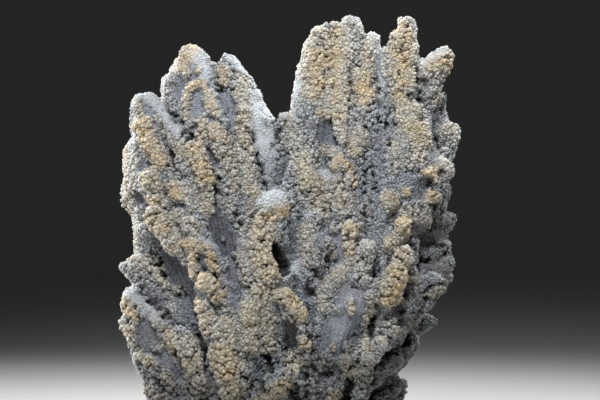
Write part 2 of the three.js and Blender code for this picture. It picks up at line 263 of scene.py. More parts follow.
# Flat faces of the old crystals that the druse left bare: line, half width, how dark they are.
WINDOWS = [
    (-43.4, 102.0, -41.4, 98.6, 1.5, 0.30),
    (-40.8, 97.4, -37.4, 92.8, 1.9, 0.30),
    (-33.4, 105.2, -32.6, 111.0, 1.5, 0.35),
    (-28.3, 99.4, -27.4, 107.8, 2.3, 0.25),
    (-29.6, 114.8, -28.6, 111.6, 1.1, 0.35),
    (-28.6, 96.8, -27.2, 93.8, 1.4, 0.40),
    (-24.2, 98.4, -23.0, 96.6, 1.6, 0.30),
    (-20.4, 106.4, -16.6, 101.6, 2.1, 0.40),
    (-17.6, 100.6, -17.8, 96.4, 1.2, 0.25),
    (-23.6, 87.4, -22.8, 86.4, 1.8, 0.70),
    (-45.8, 76.4, -44.8, 75.2, 2.1, 0.45),
    (-43.9, 85.0, -43.5, 82.6, 1.3, 0.40),
    (-42.6, 73.2, -42.2, 72.4, 1.1, 0.50),
    (-33.6, 74.0, -31.8, 72.8, 1.3, 0.50),
    (-21.8, 73.0, -21.0, 72.0, 1.6, 0.85),
    (-21.6, 68.0, -18.4, 61.0, 3.2, 0.85),
    (-17.6, 57.6, -17.2, 51.4, 1.4, 0.55),
    (-17.0, 47.6, -16.6, 44.4, 1.0, 0.50),
    (-36.4, 57.8, -31.6, 50.4, 3.1, 0.60),
    (-29.6, 46.4, -27.8, 42.2, 2.0, 0.65),
    (-26.2, 58.8, -23.8, 53.0, 1.6, 0.45),
    (-43.2, 37.4, -41.4, 31.0, 3.2, 0.50),
    (-37.2, 29.6, -36.0, 27.8, 1.9, 0.35),
    (-34.6, 25.2, -33.0, 23.4, 1.3, 0.50),
    (-0.8, 38.4, 0.4, 32.4, 2.4, 1.00),
    (9.6, 96.4, 10.6, 91.6, 2.3, 0.65),
    (40.6, 82.0, 37.6, 77.0, 2.3, 0.25),
    (10.8, 65.8, 14.4, 62.4, 2.4, 0.35),
    (13.6, 59.6, 13.8, 57.6, 1.3, 0.35),
    (18.6, 46.2, 13.0, 34.6, 4.4, 0.15),
    (10.6, 37.6, 11.4, 33.0, 1.5, 0.40),
    (12.8, 26.8, 13.6, 25.2, 1.4, 0.40),
    (38.0, 67.4, 37.6, 65.0, 1.7, 0.55),
]

# Seams and pits between the crystals, cut in and painted black as shade: line, half width, depth.
SEAMS = [
    (-38.8, 98.0, -38.2, 97.0, 0.6, 1.2),
    (-36.2, 91.2, -34.6, 84.4, 0.7, 1.4),
    (-36.2, 101.2, -33.4, 98.6, 1.1, 1.6),
    (-33.3, 98.4, -32.6, 97.6, 1.1, 2.0),
    (-31.6, 94.6, -29.8, 93.6, 1.0, 2.0),
    (-25.0, 108.9, -24.6, 108.3, 0.6, 1.2),
    (-21.6, 99.4, -20.6, 97.6, 0.6, 1.2),
    (-17.8, 113.2, -17.0, 112.8, 0.8, 1.2),
    (-22.6, 111.4, -21.6, 107.6, 1.0, 1.9),
    (-3.9, 96.4, -4.6, 91.6, 1.2, 2.6),
    (-12.0, 94.8, -10.6, 91.2, 1.0, 1.8),
    (-10.6, 91.2, -9.6, 85.6, 0.7, 1.6),
    (-9.6, 85.6, -7.0, 77.8, 0.8, 1.6),
    (-24.8, 90.0, -23.8, 88.4, 0.5, 1.2),
    (-23.4, 83.4, -22.0, 80.6, 0.6, 1.8),
    (-22.0, 80.6, -19.9, 82.0, 0.6, 1.8),
    (-22.2, 79.0, -21.0, 74.4, 0.9, 1.7),
    (-37.6, 77.6, -35.0, 73.6, 0.6, 1.4),
    (-42.9, 88.6, -42.2, 84.8, 0.6, 1.2),
    (-16.4, 71.0, -14.8, 67.6, 0.8, 1.4),
    (-26.9, 58.2, -24.9, 54.2, 0.5, 1.6),
    (-22.5, 53.2, -22.1, 52.2, 0.9, 1.8),
    (-26.6, 54.0, -26.2, 51.6, 0.6, 1.4),
    (-41.0, 59.6, -36.4, 51.4, 1.1, 2.2),
    (-44.0, 48.4, -36.4, 40.8, 1.2, 2.2),
    (-33.0, 49.4, -31.8, 46.6, 0.7, 1.4),
    (-45.6, 43.2, -44.6, 40.6, 0.6, 1.2),
    (-47.6, 45.0, -46.6, 43.6, 0.6, 1.1),
    (-27.2, 36.4, -25.2, 31.4, 0.9, 2.2),
    (-25.2, 31.0, -24.6, 22.0, 0.7, 1.6),
    (-31.0, 27.5, -33.5, 33.0, 0.5, 1.0),
    (-12.6, 49.8, -12.2, 48.6, 0.8, 1.2),
    (-9.4, 47.0, -8.8, 46.2, 0.5, 1.0),
    (-13.4, 29.4, -9.6, 27.0, 1.2, 1.8),
    (-12.6, 23.4, -11.6, 20.6, 1.1, 1.8),
    (-8.6, 23.2, -8.0, 20.4, 1.0, 1.8),
    (-7.0, 29.0, -5.6, 25.2, 0.9, 1.5),
    (-0.2, 20.6, 1.6, 17.2, 1.6, 2.2),
    (-1.6, 34.4, -1.8, 31.6, 0.6, 1.6),
    (-3.9, 61.0, -1.9, 54.8, 1.8, 6.0),
    (17.0, 117.0, 17.8, 106.0, 0.8, 0.6),
    (17.2, 105.2, 17.5, 104.6, 0.7, 1.4),
    (11.8, 98.0, 13.4, 91.0, 0.9, 2.2),
    (22.0, 97.0, 22.4, 95.6, 0.8, 1.8),
    (22.0, 89.0, 21.6, 77.0, 0.9, 1.8),
    (24.4, 83.0, 24.8, 81.4, 0.6, 1.2),
    (28.0, 96.4, 29.2, 100.2, 0.7, 1.3),
    (28.4, 92.6, 29.0, 91.0, 0.8, 1.3),
    (21.0, 74.4, 21.8, 69.8, 1.0, 1.6),
    (25.6, 111.0, 26.2, 103.0, 0.8, 0.8),
    (37.2, 113.6, 38.2, 104.4, 1.2, 1.4),
    (39.4, 110.6, 40.4, 108.6, 0.9, 1.4),
    (35.4, 106.4, 35.8, 105.6, 0.7, 1.2),
    (30.2, 102.2, 30.6, 101.4, 0.6, 1.2),
    (44.0, 83.2, 45.6, 82.2, 1.1, 1.8),
    (42.2, 73.6, 41.2, 70.2, 1.1, 2.0),
    (36.0, 67.6, 34.6, 62.4, 1.0, 2.0),
    (34.4, 62.4, 36.4, 60.4, 1.0, 1.8),
    (33.8, 55.4, 33.0, 46.8, 0.9, 1.8),
    (24.0, 57.6, 23.6, 53.4, 1.1, 1.8),
    (24.4, 45.6, 25.6, 42.4, 0.9, 1.6),
    (24.0, 40.4, 23.0, 35.8, 1.4, 2.2),
    (17.6, 49.6, 18.8, 49.2, 0.7, 1.2),
    (10.8, 58.2, 11.2, 57.0, 0.7, 1.4),
    (6.4, 54.2, 6.8, 52.0, 1.1, 1.7),
    (5.0, 50.0, 6.2, 47.0, 1.4, 1.7),
    (4.8, 42.4, 6.6, 38.4, 1.1, 1.7),
    (19.6, 28.4, 17.2, 25.6, 0.7, 1.8),
    (17.2, 22.4, 15.4, 15.2, 1.4, 2.4),
    (23.6, 26.4, 22.8, 15.0, 1.4, 2.6),
    (24.0, 25.6, 28.0, 28.4, 1.6, 2.6),
    (28.0, 28.8, 38.0, 34.0, 1.7, 2.6),
    (5.2, 35.4, 6.4, 31.0, 1.0, 1.8),
    (33.4, 42.8, 31.6, 38.8, 0.9, 1.8),
    (6.4, 26.4, 8.0, 21.6, 1.0, 1.8),
    (4.4, 23.6, 4.8, 16.0, 1.1, 2.0),
    (40.6, 48.6, 46.0, 50.4, 0.8, 1.8),
    (40.6, 45.6, 47.6, 48.2, 0.9, 2.2),
    (38.6, 57.0, 42.6, 56.2, 1.1, 1.8),
    (41.0, 62.4, 45.6, 61.0, 1.0, 1.6),
    (43.8, 93.0, 45.2, 91.4, 1.3, 1.8),
    (10.4, 42.0, 9.8, 40.8, 0.7, 1.4),
]

# Pale edges, painted rim light along the spires' edges, where fewer crystals grow: line, half width,
# smoothness.
RIM_LIGHT_EDGES = [
    (-47.0, 103.6, -45.2, 106.2, 1.4, 0.75),
    (-44.8, 106.2, -41.0, 104.4, 1.8, 0.80),
    (-41.0, 104.4, -33.0, 94.6, 1.5, 0.80),
    (-29.0, 119.0, -25.2, 112.0, 2.4, 0.9),
    (-36.6, 113.0, -34.4, 116.0, 2.0, 0.55),
    (-39.2, 104.0, -37.6, 112.0, 1.2, 0.5),
    (-24.4, 105.2, -19.4, 98.4, 1.3, 0.55),
    (-17.6, 118.4, -13.4, 113.6, 2.2, 0.8),
    (-10.6, 105.0, -7.4, 90.0, 3.0, 1.0),
    (-4.8, 74.8, -3.8, 74.6, 3.6, 1.0),
    (-28.0, 65.2, -21.4, 61.2, 1.2, 0.55),
    (-50.4, 57.4, -45.0, 59.4, 1.3, 0.65),
    (-48.4, 48.0, -39.0, 40.8, 1.9, 0.8),
    (-1.6, 51.0, 2.4, 56.6, 1.7, 0.9),
    (-0.6, 58.8, 1.2, 56.8, 1.4, 0.55),
    (7.0, 127.0, 14.0, 128.4, 1.4, 0.7),
    (21.0, 127.0, 26.0, 119.0, 1.9, 0.8),
    (2.4, 113.0, 1.2, 103.0, 1.1, 0.55),
    (-3.4, 99.8, 0.6, 101.6, 1.6, 0.55),
    (40.4, 116.4, 45.0, 119.2, 1.5, 0.8),
    (27.6, 116.0, 26.8, 106.0, 1.4, 0.55),
    (41.2, 96.6, 43.0, 87.4, 1.6, 0.55),
    # A small patch of painted glint on white crystals.
    (8.8, 84.0, 11.2, 82.6, 1.0, 0.7),
    (-6.2, 92.0, -6.6, 82.0, 2.2, 0.6),
    (-46.0, 104.0, -47.5, 92.0, 1.0, 0.5),
    (15.2, 129.2, 20.4, 129.2, 1.2, 0.5),
    (29.5, 124.0, 27.8, 118.0, 1.0, 0.5),
    (37.6, 125.6, 38.6, 115.0, 1.0, 0.5),
    (-49.6, 92.0, -50.6, 74.0, 1.0, 0.4),
    (40.4, 53.2, 46.6, 54.4, 3.4, 0.55),
    (39.8, 59.0, 42.6, 58.6, 1.8, 0.5),
    (44.4, 64.2, 47.2, 62.2, 1.8, 0.45),
    (45.6, 69.8, 49.0, 67.8, 2.0, 0.4),
]

# Where the outline runs in between two growths: line, half width, depth.
HOLLOWS = [
    (-50.0, 70.0, -50.0, 60.0, 3.4, 3.2),
    (-52.4, 91.0, -52.4, 74.0, 2.4, 1.6),
    (-35.4, 119.6, -33.2, 122.2, 1.8, 1.4),
    (29.8, 129.6, 30.8, 126.8, 1.9, 1.4),
]

# Painted shade on the shaded lower right side and along the foot: line, half width.
SHADED_FIELDS = [
    (49.0, 72.0, 41.0, 22.0, 9.0),
    (37.0, 40.0, 32.0, 12.0, 8.0),
    (-42.0, 12.0, 24.0, 8.0, 13.0),
    (10.0, 26.0, 28.0, 20.0, 7.0),
]

# Broad fields of clean cream crystals: line, half width.
CREAM_FIELDS = [
    (8.5, 122.0, 12.0, 98.0, 8.0),
    (20.5, 122.0, 18.5, 92.0, 5.0),
    (33.5, 124.0, 36.0, 90.0, 5.0),
    (3.0, 90.0, 10.0, 70.0, 7.0),
    (-7.5, 66.0, -9.0, 48.0, 5.0),
    (-18.5, 38.0, -18.0, 15.0, 5.0),
    (-31.0, 34.0, -28.0, 16.0, 4.0),
    (-14.0, 108.0, -14.0, 80.0, 4.0),
    (-43.0, 98.0, -30.0, 62.0, 5.0),
    (-46.0, 58.0, -36.0, 48.0, 4.0),
    (-30.0, 92.0, -22.0, 70.0, 4.0),
    (30.0, 56.0, 30.0, 46.0, 4.0),
    (48.0, 96.0, 46.0, 84.0, 5.0),
    (-8.0, 44.0, -2.0, 34.0, 5.0),
    (-49.0, 92.0, -48.5, 66.0, 4.0),
    (46.0, 74.0, 47.0, 50.0, 4.0),
    (45.5, 114.0, 42.0, 104.0, 3.5),
    (22.0, 30.0, 15.0, 18.0, 4.0),
    (25.0, 40.0, 36.0, 37.0, 3.0),
    (-10.0, 16.0, 2.0, 24.0, 3.0),
]


# ---- colour and nodes ---------------------------------------------------------------------------
def linear(code):
    """An sRGB hex colour as the linear RGBA that a shader reads."""
    parts = [int(code[k : k + 2], 16) / 255 for k in (1, 3, 5)]
    return [p / 12.92 if p <= 0.04045 else ((p + 0.055) / 1.055) ** 2.4 for p in parts] + [1.0]


def add(tree, kind, feeds=None, **settings):
    """Add one node, set it, and give each named or numbered input its value or its link."""
    made = tree.nodes.new(kind)
    for name, value in settings.items():
        setattr(made, name, value)
    for key, value in (feeds or {}).items():
        if isinstance(value, bpy.types.NodeSocket):
            tree.links.new(value, made.inputs[key])
        else:
            made.inputs[key].default_value = value
    return made


# ---- sculpting ----------------------------------------------------------------------------------
def plain_copy(thing, name):
    """The evaluated mesh of an object as a new object with no modifiers."""
    depsgraph = bpy.context.evaluated_depsgraph_get()
    mesh = bpy.data.meshes.new_from_object(
        thing.evaluated_get(depsgraph), preserve_all_data_layers=True, depsgraph=depsgraph
    )
    mesh.name = name
    made = bpy.data.objects.new(name, mesh)
    bpy.context.scene.collection.objects.link(made)
    return made


def filled(node, name, voxel, gap):
    """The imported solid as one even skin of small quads, with every crack narrower than the gap filled."""
    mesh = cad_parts[node].data.copy()
    shell = bmesh.new()
    shell.from_mesh(mesh)
    bmesh.ops.remove_doubles(shell, verts=shell.verts, dist=1e-6)
    shell.to_mesh(mesh)
    shell.free()
    rough = bpy.data.objects.new(name + "_rough", mesh)
    bpy.context.scene.collection.objects.link(rough)
    rounds = ((ROUGH_VOXEL, gap / 2), (ROUGH_VOXEL, -gap / 2), (voxel, 0))
    for number, (voxel_size, swell) in enumerate(rounds):
        even = rough.modifiers.new(f"Even {number}", "REMESH")
        even.mode = "VOXEL"
        even.voxel_size = voxel_size
        if swell:
            moved = rough.modifiers.new(f"Swell {number}", "DISPLACE")
            moved.mid_level = 0
            moved.strength = swell
    made = plain_copy(rough, name)
    bpy.data.objects.remove(rough)
    bpy.data.meshes.remove(mesh)
    return made


def corners_of(mesh):
    """The mesh's points, in metres."""
    co = np.empty(len(mesh.vertices) * 3, np.float32)
    mesh.vertices.foreach_get("co", co)
    return co.reshape(-1, 3).astype(float)


def normals_of(mesh):
    """The way each point of the mesh faces."""
    mesh.update()
    out = np.empty(len(mesh.vertices) * 3, np.float32)
    mesh.vertex_normals.foreach_get("vector", out)
    return out.reshape(-1, 3).astype(float)


def place(mesh, points):
    """Move the mesh's points."""
    mesh.vertices.foreach_set("co", points.astype(np.float32).ravel())
    mesh.update()


def edges_of(mesh):
    """The pairs of points that the mesh's edges join."""
    pairs = np.empty(len(mesh.edges) * 2, np.int32)
    mesh.edges.foreach_get("vertices", pairs)
    return pairs.reshape(-1, 2)


def averaged(values, pairs, rounds):
    """Values relaxed towards their neighbours', that many times."""
    count = np.bincount(pairs.ravel(), minlength=len(values))[:, None] + 1e-9
    out = values.copy()
    for _ in range(rounds):
        total = np.empty_like(out)
        for k in range(out.shape[1]):
            total[:, k] = np.bincount(pairs[:, 0], out[pairs[:, 1], k], len(out)) + np.bincount(
                pairs[:, 1], out[pairs[:, 0], k], len(out)
            )
        out = 0.5 * out + 0.5 * total / count
    return out


def step(low, high, values):
    """A smooth rise from 0 at low to 1 at high, or a fall if high is the lower one."""
    t = np.clip((values - low) / (high - low), 0, 1)
    return t * t * (3 - 2 * t)


def distance(places, x0, z0, x1, z1):
    """Millimetres from each place to a line of the front, seen square on."""
    start = np.array((x0, z0))
    run = np.array((x1, z1)) - start
    offset = places[:, (0, 2)] - start
    along = np.clip(offset @ run / (run @ run), 0, 1)
    return np.linalg.norm(offset - along[:, None] * run, axis=1)


def marks(places, table, full, none):
    """The strongest mark of a table at each place: its last value, fading over those half widths."""
    out = np.zeros(len(places))
    for x0, z0, x1, z1, half, *values in table:
        near = distance(places, x0, z0, x1, z1) / half
        out = np.maximum(out, (values[-1] if values else 1.0) * step(none, full, near))
    return out


def domes(places, table):
    """The height of the table's rounded ridges at each place, in millimetres."""
    out = np.zeros(len(places))
    for x0, z0, x1, z1, half, height, _ in table:
        near = distance(places, x0, z0, x1, z1) / half
        out = np.maximum(out, height * np.clip(1 - (near / 1.5) ** 2, 0, 1) ** 1.3)
    return out


def flow_of(points):
    """Millimetres across, along and into the fan, which the spires follow."""
    x, z = points[:, 0] / MM - FAN[0], points[:, 2] / MM - FAN[1] + 30
    lean = np.arctan2(x, z)
    return np.stack([lean * 95, np.hypot(x, z), points[:, 1] / MM], 1)


def sampled(function, places):
    """What a noise function gives at each place."""
    return np.array([function(Vector(p)) for p in places])


def rolling(places):
    """Smooth noise, about -0.7 to 0.7, with swells about one unit wide."""
    return sampled(noise.noise, places)


def store(mesh, name, values):
    """Keep one value for each point in the mesh."""
    layer = mesh.attributes.new(name, "FLOAT", "POINT")
    layer.data.foreach_set("value", values.astype(np.float32))


# ---- materials ----------------------------------------------------------------------------------
def mixed(tree, share, first, second, blend="MIX"):
    """The colour socket between two colours, or their product."""
    return add(
        tree,
        "ShaderNodeMix",
        {0: share, 6: first, 7: second},
        data_type="RGBA",
        blend_type=blend,
    ).outputs[2]


def marked(tree, name):
    """The value of one of the skin's marks, which the crystals inherit."""
    return add(tree, "ShaderNodeAttribute", attribute_name=name).outputs["Fac"]


def ranged(tree, value, low, high, least, most):
    """The socket that turns a value's range into another range."""
    feeds = {0: value, 1: low, 2: high, 3: least, 4: most}
    return add(tree, "ShaderNodeMapRange", feeds).outputs[0]


def bare_face(tree, colours):
    """The colour of a flat face without druse, paler or darker by its own mark."""
    return mixed(tree, marked(tree, "dark"), linear(colours.pale_slate), linear(colours.slate))


def clean_crystal(tree, colours):
    """The colour of unstained crystals: cream on the ridges, cool grey in the valleys."""
    return mixed(tree, marked(tree, "cool"), linear(colours.cream), linear(colours.cool_grey))


def empty_material(name):
    made = bpy.data.materials.new(name)
    made.use_nodes = True
    made.node_tree.nodes.clear()
    return made, made.node_tree


def massive_calcite(colours):
    """Calcite, grown: the old spires' own faces under a skin of sugar-fine crystals.

    Dull blue-grey where bare, with fine growth lines along the spires, stained by iron on the ridges,
    with painted shade, brown-black, in the clefts, and painted rim light on the pale edges.
    """
    made, tree = empty_material("massive_calcite")
    place_of = add(tree, "ShaderNodeTexCoord").outputs["Object"]
    # Clouds 5 mm across in the stone, specks of 0.7 mm, and sugar grains of 0.4 mm.
    clouds = add(tree, "ShaderNodeTexNoise", {"Vector": place_of, "Scale": 200.0, "Detail": 4.0})
    specks = add(tree, "ShaderNodeTexNoise", {"Vector": place_of, "Scale": 1500.0, "Detail": 3.0})
    sugar = add(tree, "ShaderNodeTexVoronoi", {"Vector": place_of, "Scale": 2500.0})
    # Growth lines 1.1 mm apart, drawn coarser than the real ones so that they show.
    lines = add(
        tree,
        "ShaderNodeTexWave",
        {
            "Vector": add(tree, "ShaderNodeCombineXYZ", {0: marked(tree, "across")}).outputs[0],
            "Scale": 0.28,
            "Distortion": 4.0,
            "Detail": 3.0,
            "Detail Scale": 0.8,
        },
    )
    worn = ranged(tree, clouds.outputs["Fac"], 0.3, 0.7, 0.7, 1.2)
    slate = mixed(tree, 1.0, bare_face(tree, colours), worn, "MULTIPLY")
    lined = ranged(tree, lines.outputs["Fac"], 0.0, 0.6, 0.45, 1.15)
    slate = mixed(tree, marked(tree, "dark"), slate, lined, "MULTIPLY")
    # Between the crystals the crust is darker than they are: painted shade.
    crust = mixed(tree, 1.0, clean_crystal(tree, colours), linear(colours.crust_shade), "MULTIPLY")
    ground = mixed(tree, marked(tree, "bare"), crust, slate)
    # Painted rim light and glints on the pale edges.
    ground = mixed(tree, marked(tree, "pale"), ground, linear(colours.rim_light_colour))
    ground = mixed(tree, marked(tree, "stain"), ground, linear(colours.tan))
    # The specks fade out on the pale edges, whose colour is painted rim light over a smooth crust.
    grain = ranged(tree, specks.outputs["Fac"], 0.3, 0.7, 0.7, 1.2)
    coarse = add(
        tree, "ShaderNodeMath", {0: 1.0, 1: marked(tree, "pale")}, operation="SUBTRACT", use_clamp=True
    ).outputs[0]
    ground = mixed(tree, coarse, ground, mixed(tree, 1.0, ground, grain, "MULTIPLY"))
    # Painted shade, near black, in the clefts, valleys, grooves and shaded fields.
    ground = mixed(tree, marked(tree, "cleft"), ground, linear(colours.dirt))
    bump = add(
        tree,
        "ShaderNodeBump",
        {"Strength": 0.7, "Distance": 0.0003, "Height": sugar.outputs["Distance"]},
    ).outputs[0]
    shader = add(
        tree,
        "ShaderNodeBsdfPrincipled",
        {"Base Color": ground, "Roughness": 0.55, "IOR": 1.55, "Normal": bump, **TRANSLUCENCY},
    )
    add(tree, "ShaderNodeOutputMaterial", {"Surface": shader.outputs[0]})
    return made


def druse_calcite(colours):
    """Calcite druse, grown as a coat of millimetre crystals: waxy, milky, grey-cream to iron tan."""
    made, tree = empty_material("druse_calcite")
    tone = marked(tree, "tone")
    ground = clean_crystal(tree, colours)
    ground = mixed(tree, marked(tree, "bare"), ground, bare_face(tree, colours))
    # Painted rim light on the pale edges.
    ground = mixed(tree, marked(tree, "pale"), ground, linear(colours.rim_light_colour))
    iron = mixed(tree, tone, linear(colours.rust), linear(colours.tan))
    ground = mixed(tree, marked(tree, "stain"), ground, iron)
    # Each crystal has a brightness of its own, evened out on the pale edges.
    shade = ranged(tree, tone, 0.0, 1.0, 0.80, 1.07)
    shade = mixed(tree, marked(tree, "pale"), shade, (1.0, 1.0, 1.0, 1.0))
    ground = mixed(tree, 1.0, ground, shade, "MULTIPLY")
    # Painted shade, near black, in the clefts.
    ground = mixed(tree, marked(tree, "cleft"), ground, linear(colours.dirt))
    shader = add(
        tree,
        "ShaderNodeBsdfPrincipled",
        {"Base Color": ground, "Roughness": 0.62, "IOR": 1.5, **TRANSLUCENCY},
    )
    add(tree, "ShaderNodeOutputMaterial", {"Surface": shader.outputs[0]})
    return made


def studio_paper(colours):
    """Matt paper sweep, an even pale grey with no texture that shows."""
    made = bpy.data.materials.new("studio_paper")
    made.use_nodes = True
    shader = made.node_tree.nodes["Principled BSDF"]
    shader.inputs["Base Color"].default_value = linear(colours.paper)
    shader.inputs["Roughness"].default_value = 0.9
    return made


# ---- the druse tree -----------------------------------------------------------------------------
def druse_tree():
    """Crystals set on a skin where its coverage is high, as real mesh."""
    tree = bpy.data.node_groups.new("Druse", "GeometryNodeTree")
    face = tree.interface
    face.new_socket("Geometry", in_out="OUTPUT", socket_type="NodeSocketGeometry")
    face.new_socket("Geometry", in_out="INPUT", socket_type="NodeSocketGeometry")
    for name, kind, value in (
        ("Spacing", "NodeSocketFloat", 0.001),
        ("Small radius", "NodeSocketFloat", 0.0005),
        ("Large radius", "NodeSocketFloat", 0.0008),
        ("Lift", "NodeSocketFloat", 0.0),
        ("Brightest", "NodeSocketFloat", 1.0),
        ("Cover", "NodeSocketString", None),
        ("Panel", "NodeSocketInt", 0),
        ("Seed", "NodeSocketInt", 1),
        ("Crystal", "NodeSocketObject", None),
        ("Material", "NodeSocketMaterial", None),
    ):
        socket = face.new_socket(name, in_out="INPUT", socket_type=kind)
        if value is not None:
            socket.default_value = value
    given = add(tree, "NodeGroupInput").outputs
    cover = add(
        tree, "GeometryNodeInputNamedAttribute", {"Name": given["Cover"]}, data_type="FLOAT"
    ).outputs["Attribute"]
    panel = add(
        tree, "GeometryNodeInputNamedAttribute", {"Name": "panel"}, data_type="INT"
    ).outputs["Attribute"]
    here = add(
        tree,
        "FunctionNodeCompare",
        {2: panel, 3: given["Panel"]},
        data_type="INT",
        operation="EQUAL",
    ).outputs[0]
    # More points are tried than there is room for, so that the spacing alone decides.
    square = add(tree, "ShaderNodeMath", {0: given["Spacing"], 1: 2.0}, operation="POWER").outputs[0]
    density = add(tree, "ShaderNodeMath", {0: 2.2, 1: square}, operation="DIVIDE").outputs[0]
    spread = ranged(tree, cover, 0.1, 0.6, 0.0, 1.0)
    scatter = add(
        tree,
        "GeometryNodeDistributePointsOnFaces",
        {
            "Mesh": given["Geometry"],
            "Selection": here,
            "Distance Min": given["Spacing"],
            "Density Max": density,
            "Density Factor": spread,
            "Seed": given["Seed"],
        },
        distribute_method="POISSON",
    )
    tone = add(
        tree,
        "FunctionNodeRandomValue",
        {2: 0.0, 3: given["Brightest"], "Seed": given["Seed"]},
        data_type="FLOAT",
    ).outputs[1]
    toned = add(
        tree,
        "GeometryNodeStoreNamedAttribute",
        {"Geometry": scatter.outputs["Points"], "Name": "tone", "Value": tone},
        data_type="FLOAT",
        domain="POINT",
    ).outputs[0]
    size = add(
        tree,
        "FunctionNodeRandomValue",
        {2: given["Small radius"], 3: given["Large radius"], "Seed": given["Seed"]},
        data_type="FLOAT",
    ).outputs[1]
    # Crystals are smaller towards the edge of their cover.
    full = ranged(tree, cover, 0.0, 0.8, 0.75, 1.05)
    radius = add(tree, "ShaderNodeMath", {0: size, 1: full}, operation="MULTIPLY").outputs[0]
    height = add(tree, "ShaderNodeMath", {0: radius, 1: given["Lift"]}, operation="MULTIPLY").outputs[0]
    outward = add(
        tree, "ShaderNodeVectorMath", {0: scatter.outputs["Normal"], 3: height}, operation="SCALE"
    ).outputs[0]
    lifted = add(tree, "GeometryNodeSetPosition", {"Geometry": toned, "Offset": outward}).outputs[0]
    squash = add(
        tree,
        "FunctionNodeRandomValue",
        {0: (0.82, 0.82, 0.82), 1: (1.12, 1.12, 1.12), "Seed": given["Seed"]},
        data_type="FLOAT_VECTOR",
    ).outputs[0]
    scale = add(
        tree, "ShaderNodeVectorMath", {0: squash, 3: radius}, operation="SCALE"
    ).outputs[0]
    half_turn = 3.14
    turn = add(
        tree,
        "FunctionNodeRandomValue",
        {0: (-half_turn,) * 3, 1: (half_turn,) * 3, "Seed": given["Seed"]},
        data_type="FLOAT_VECTOR",
    ).outputs[0]
    shape = add(tree, "GeometryNodeObjectInfo", {"Object": given["Crystal"]}).outputs["Geometry"]
    crystals = add(
        tree,
        "GeometryNodeInstanceOnPoints",
        {"Points": lifted, "Instance": shape, "Rotation": turn, "Scale": scale},
    ).outputs[0]
    solid = add(tree, "GeometryNodeRealizeInstances", {"Geometry": crystals}).outputs[0]
    dressed = add(
        tree, "GeometryNodeSetMaterial", {"Geometry": solid, "Material": given["Material"]}
    ).outputs[0]
    add(tree, "NodeGroupOutput", {"Geometry": dressed})
    return tree


def crystal(name, blunt):
    """A crystal of unit radius, slightly irregular: a blunt one of 20 faces or a sharp one of eight."""
    shape = bmesh.new()
    if blunt:
        bmesh.ops.create_icosphere(shape, subdivisions=1, radius=1)
    else:
        bmesh.ops.create_uvsphere(shape, u_segments=4, v_segments=2, radius=1.15)
    for k, corner in enumerate(shape.verts):
        corner.co *= 1 + 0.1 * math.sin(k * 2.4 + 1)
    for side in shape.faces:
        side.smooth = blunt
    mesh = bpy.data.meshes.new(name)
    shape.to_mesh(mesh)
    shape.free()
    return bpy.data.objects.new(name, mesh)


def grow(skin, name, tree, **inputs):
    """Run the druse tree over a copy of the skin and keep the crystals as a plain mesh."""
    bed = bpy.data.objects.new(name + "_bed", skin.data)
    bpy.context.scene.collection.objects.link(bed)
    growth = bed.modifiers.new("Druse", "NODES")
    growth.node_group = tree
    sockets = {s.name: s.identifier for s in tree.interface.items_tree if s.in_out == "INPUT"}
    for key, value in inputs.items():
        growth[sockets[key.replace("_", " ")]] = value
    made = plain_copy(bed, name)
    bpy.data.objects.remove(bed)
    return made


# ---- the studio ---------------------------------------------------------------------------------
def paper_sweep(colours):
    """A round paper sweep, so that it stands behind the specimen from every side."""
    floor_radius, bend_radius, wall_top = 1.3, 0.6, 2.0
    turns = np.radians(np.arange(0, 360, 5))
    bends = np.radians(np.arange(0, 91, 7.5))
    profile = [
        (floor_radius + bend_radius * math.sin(bend), bend_radius - bend_radius * math.cos(bend))
        for bend in bends
    ]
    profile.append((floor_radius + bend_radius, wall_top))
    sweep = bmesh.new()
    rings = [
        [sweep.verts.new((r * math.cos(turn), r * math.sin(turn), z)) for turn in turns]
        for r, z in profile
    ]
    sweep.faces.new(rings[0])
    for low, high in zip(rings, rings[1:]):
        for k in range(len(turns)):
            side = sweep.faces.new((low[k - 1], high[k - 1], high[k], low[k]))
            side.smooth = True
    bmesh.ops.recalc_face_normals(sweep, faces=sweep.faces)
    mesh = bpy.data.meshes.new("paper_sweep")
    sweep.to_mesh(mesh)
    sweep.free()
    mesh.materials.append(studio_paper(colours))
    return bpy.data.objects.new("paper_sweep", mesh)


# ---- settings -----------------------------------------------------------------------------------
class SpecimenColours(bpy.types.PropertyGroup):
    """Colours of the stone and the studio, as sRGB hex."""

    slate: bpy.props.StringProperty(
        name="Slate", description="Bare crystal face, darkest", default="#34373e"
    )
    pale_slate: bpy.props.StringProperty(
        name="Pale slate", description="Bare crystal face, lightest", default="#a2a4ad"
    )
    cool_grey: bpy.props.StringProperty(
        name="Cool grey", description="Clean crystals of the valleys", default="#8f939b"
    )
    cream: bpy.props.StringProperty(
        name="Cream", description="Clean crystals of the ridges", default="#b2b2ae"
    )
    # Painted rim light along the spires' edges.
    rim_light_colour: bpy.props.StringProperty(
        name="Pale edge", description="Smooth crust along the spires' edges", default="#c6c8ca"
    )
    tan: bpy.props.StringProperty(
        name="Tan", description="Iron stain, light part", default="#cfb68b"
    )
    rust: bpy.props.StringProperty(
        name="Rust", description="Iron stain, deep part", default="#c8a67a"
    )
    # Painted shade: how much darker the crust is between the crystals.
    crust_shade: bpy.props.StringProperty(
        name="Dust", description="How much darker the crust is between crystals", default="#b2afaa"
    )
    # Painted shade: the near-black colour of the clefts, valleys, grooves and shaded fields.
    dirt: bpy.props.StringProperty(
        name="Dirt", description="Dirt at the bottom of the clefts", default="#1f1c1a"
    )
    paper: bpy.props.StringProperty(
        name="Paper", description="Floor and backdrop", default="#b9b8b4"
    )


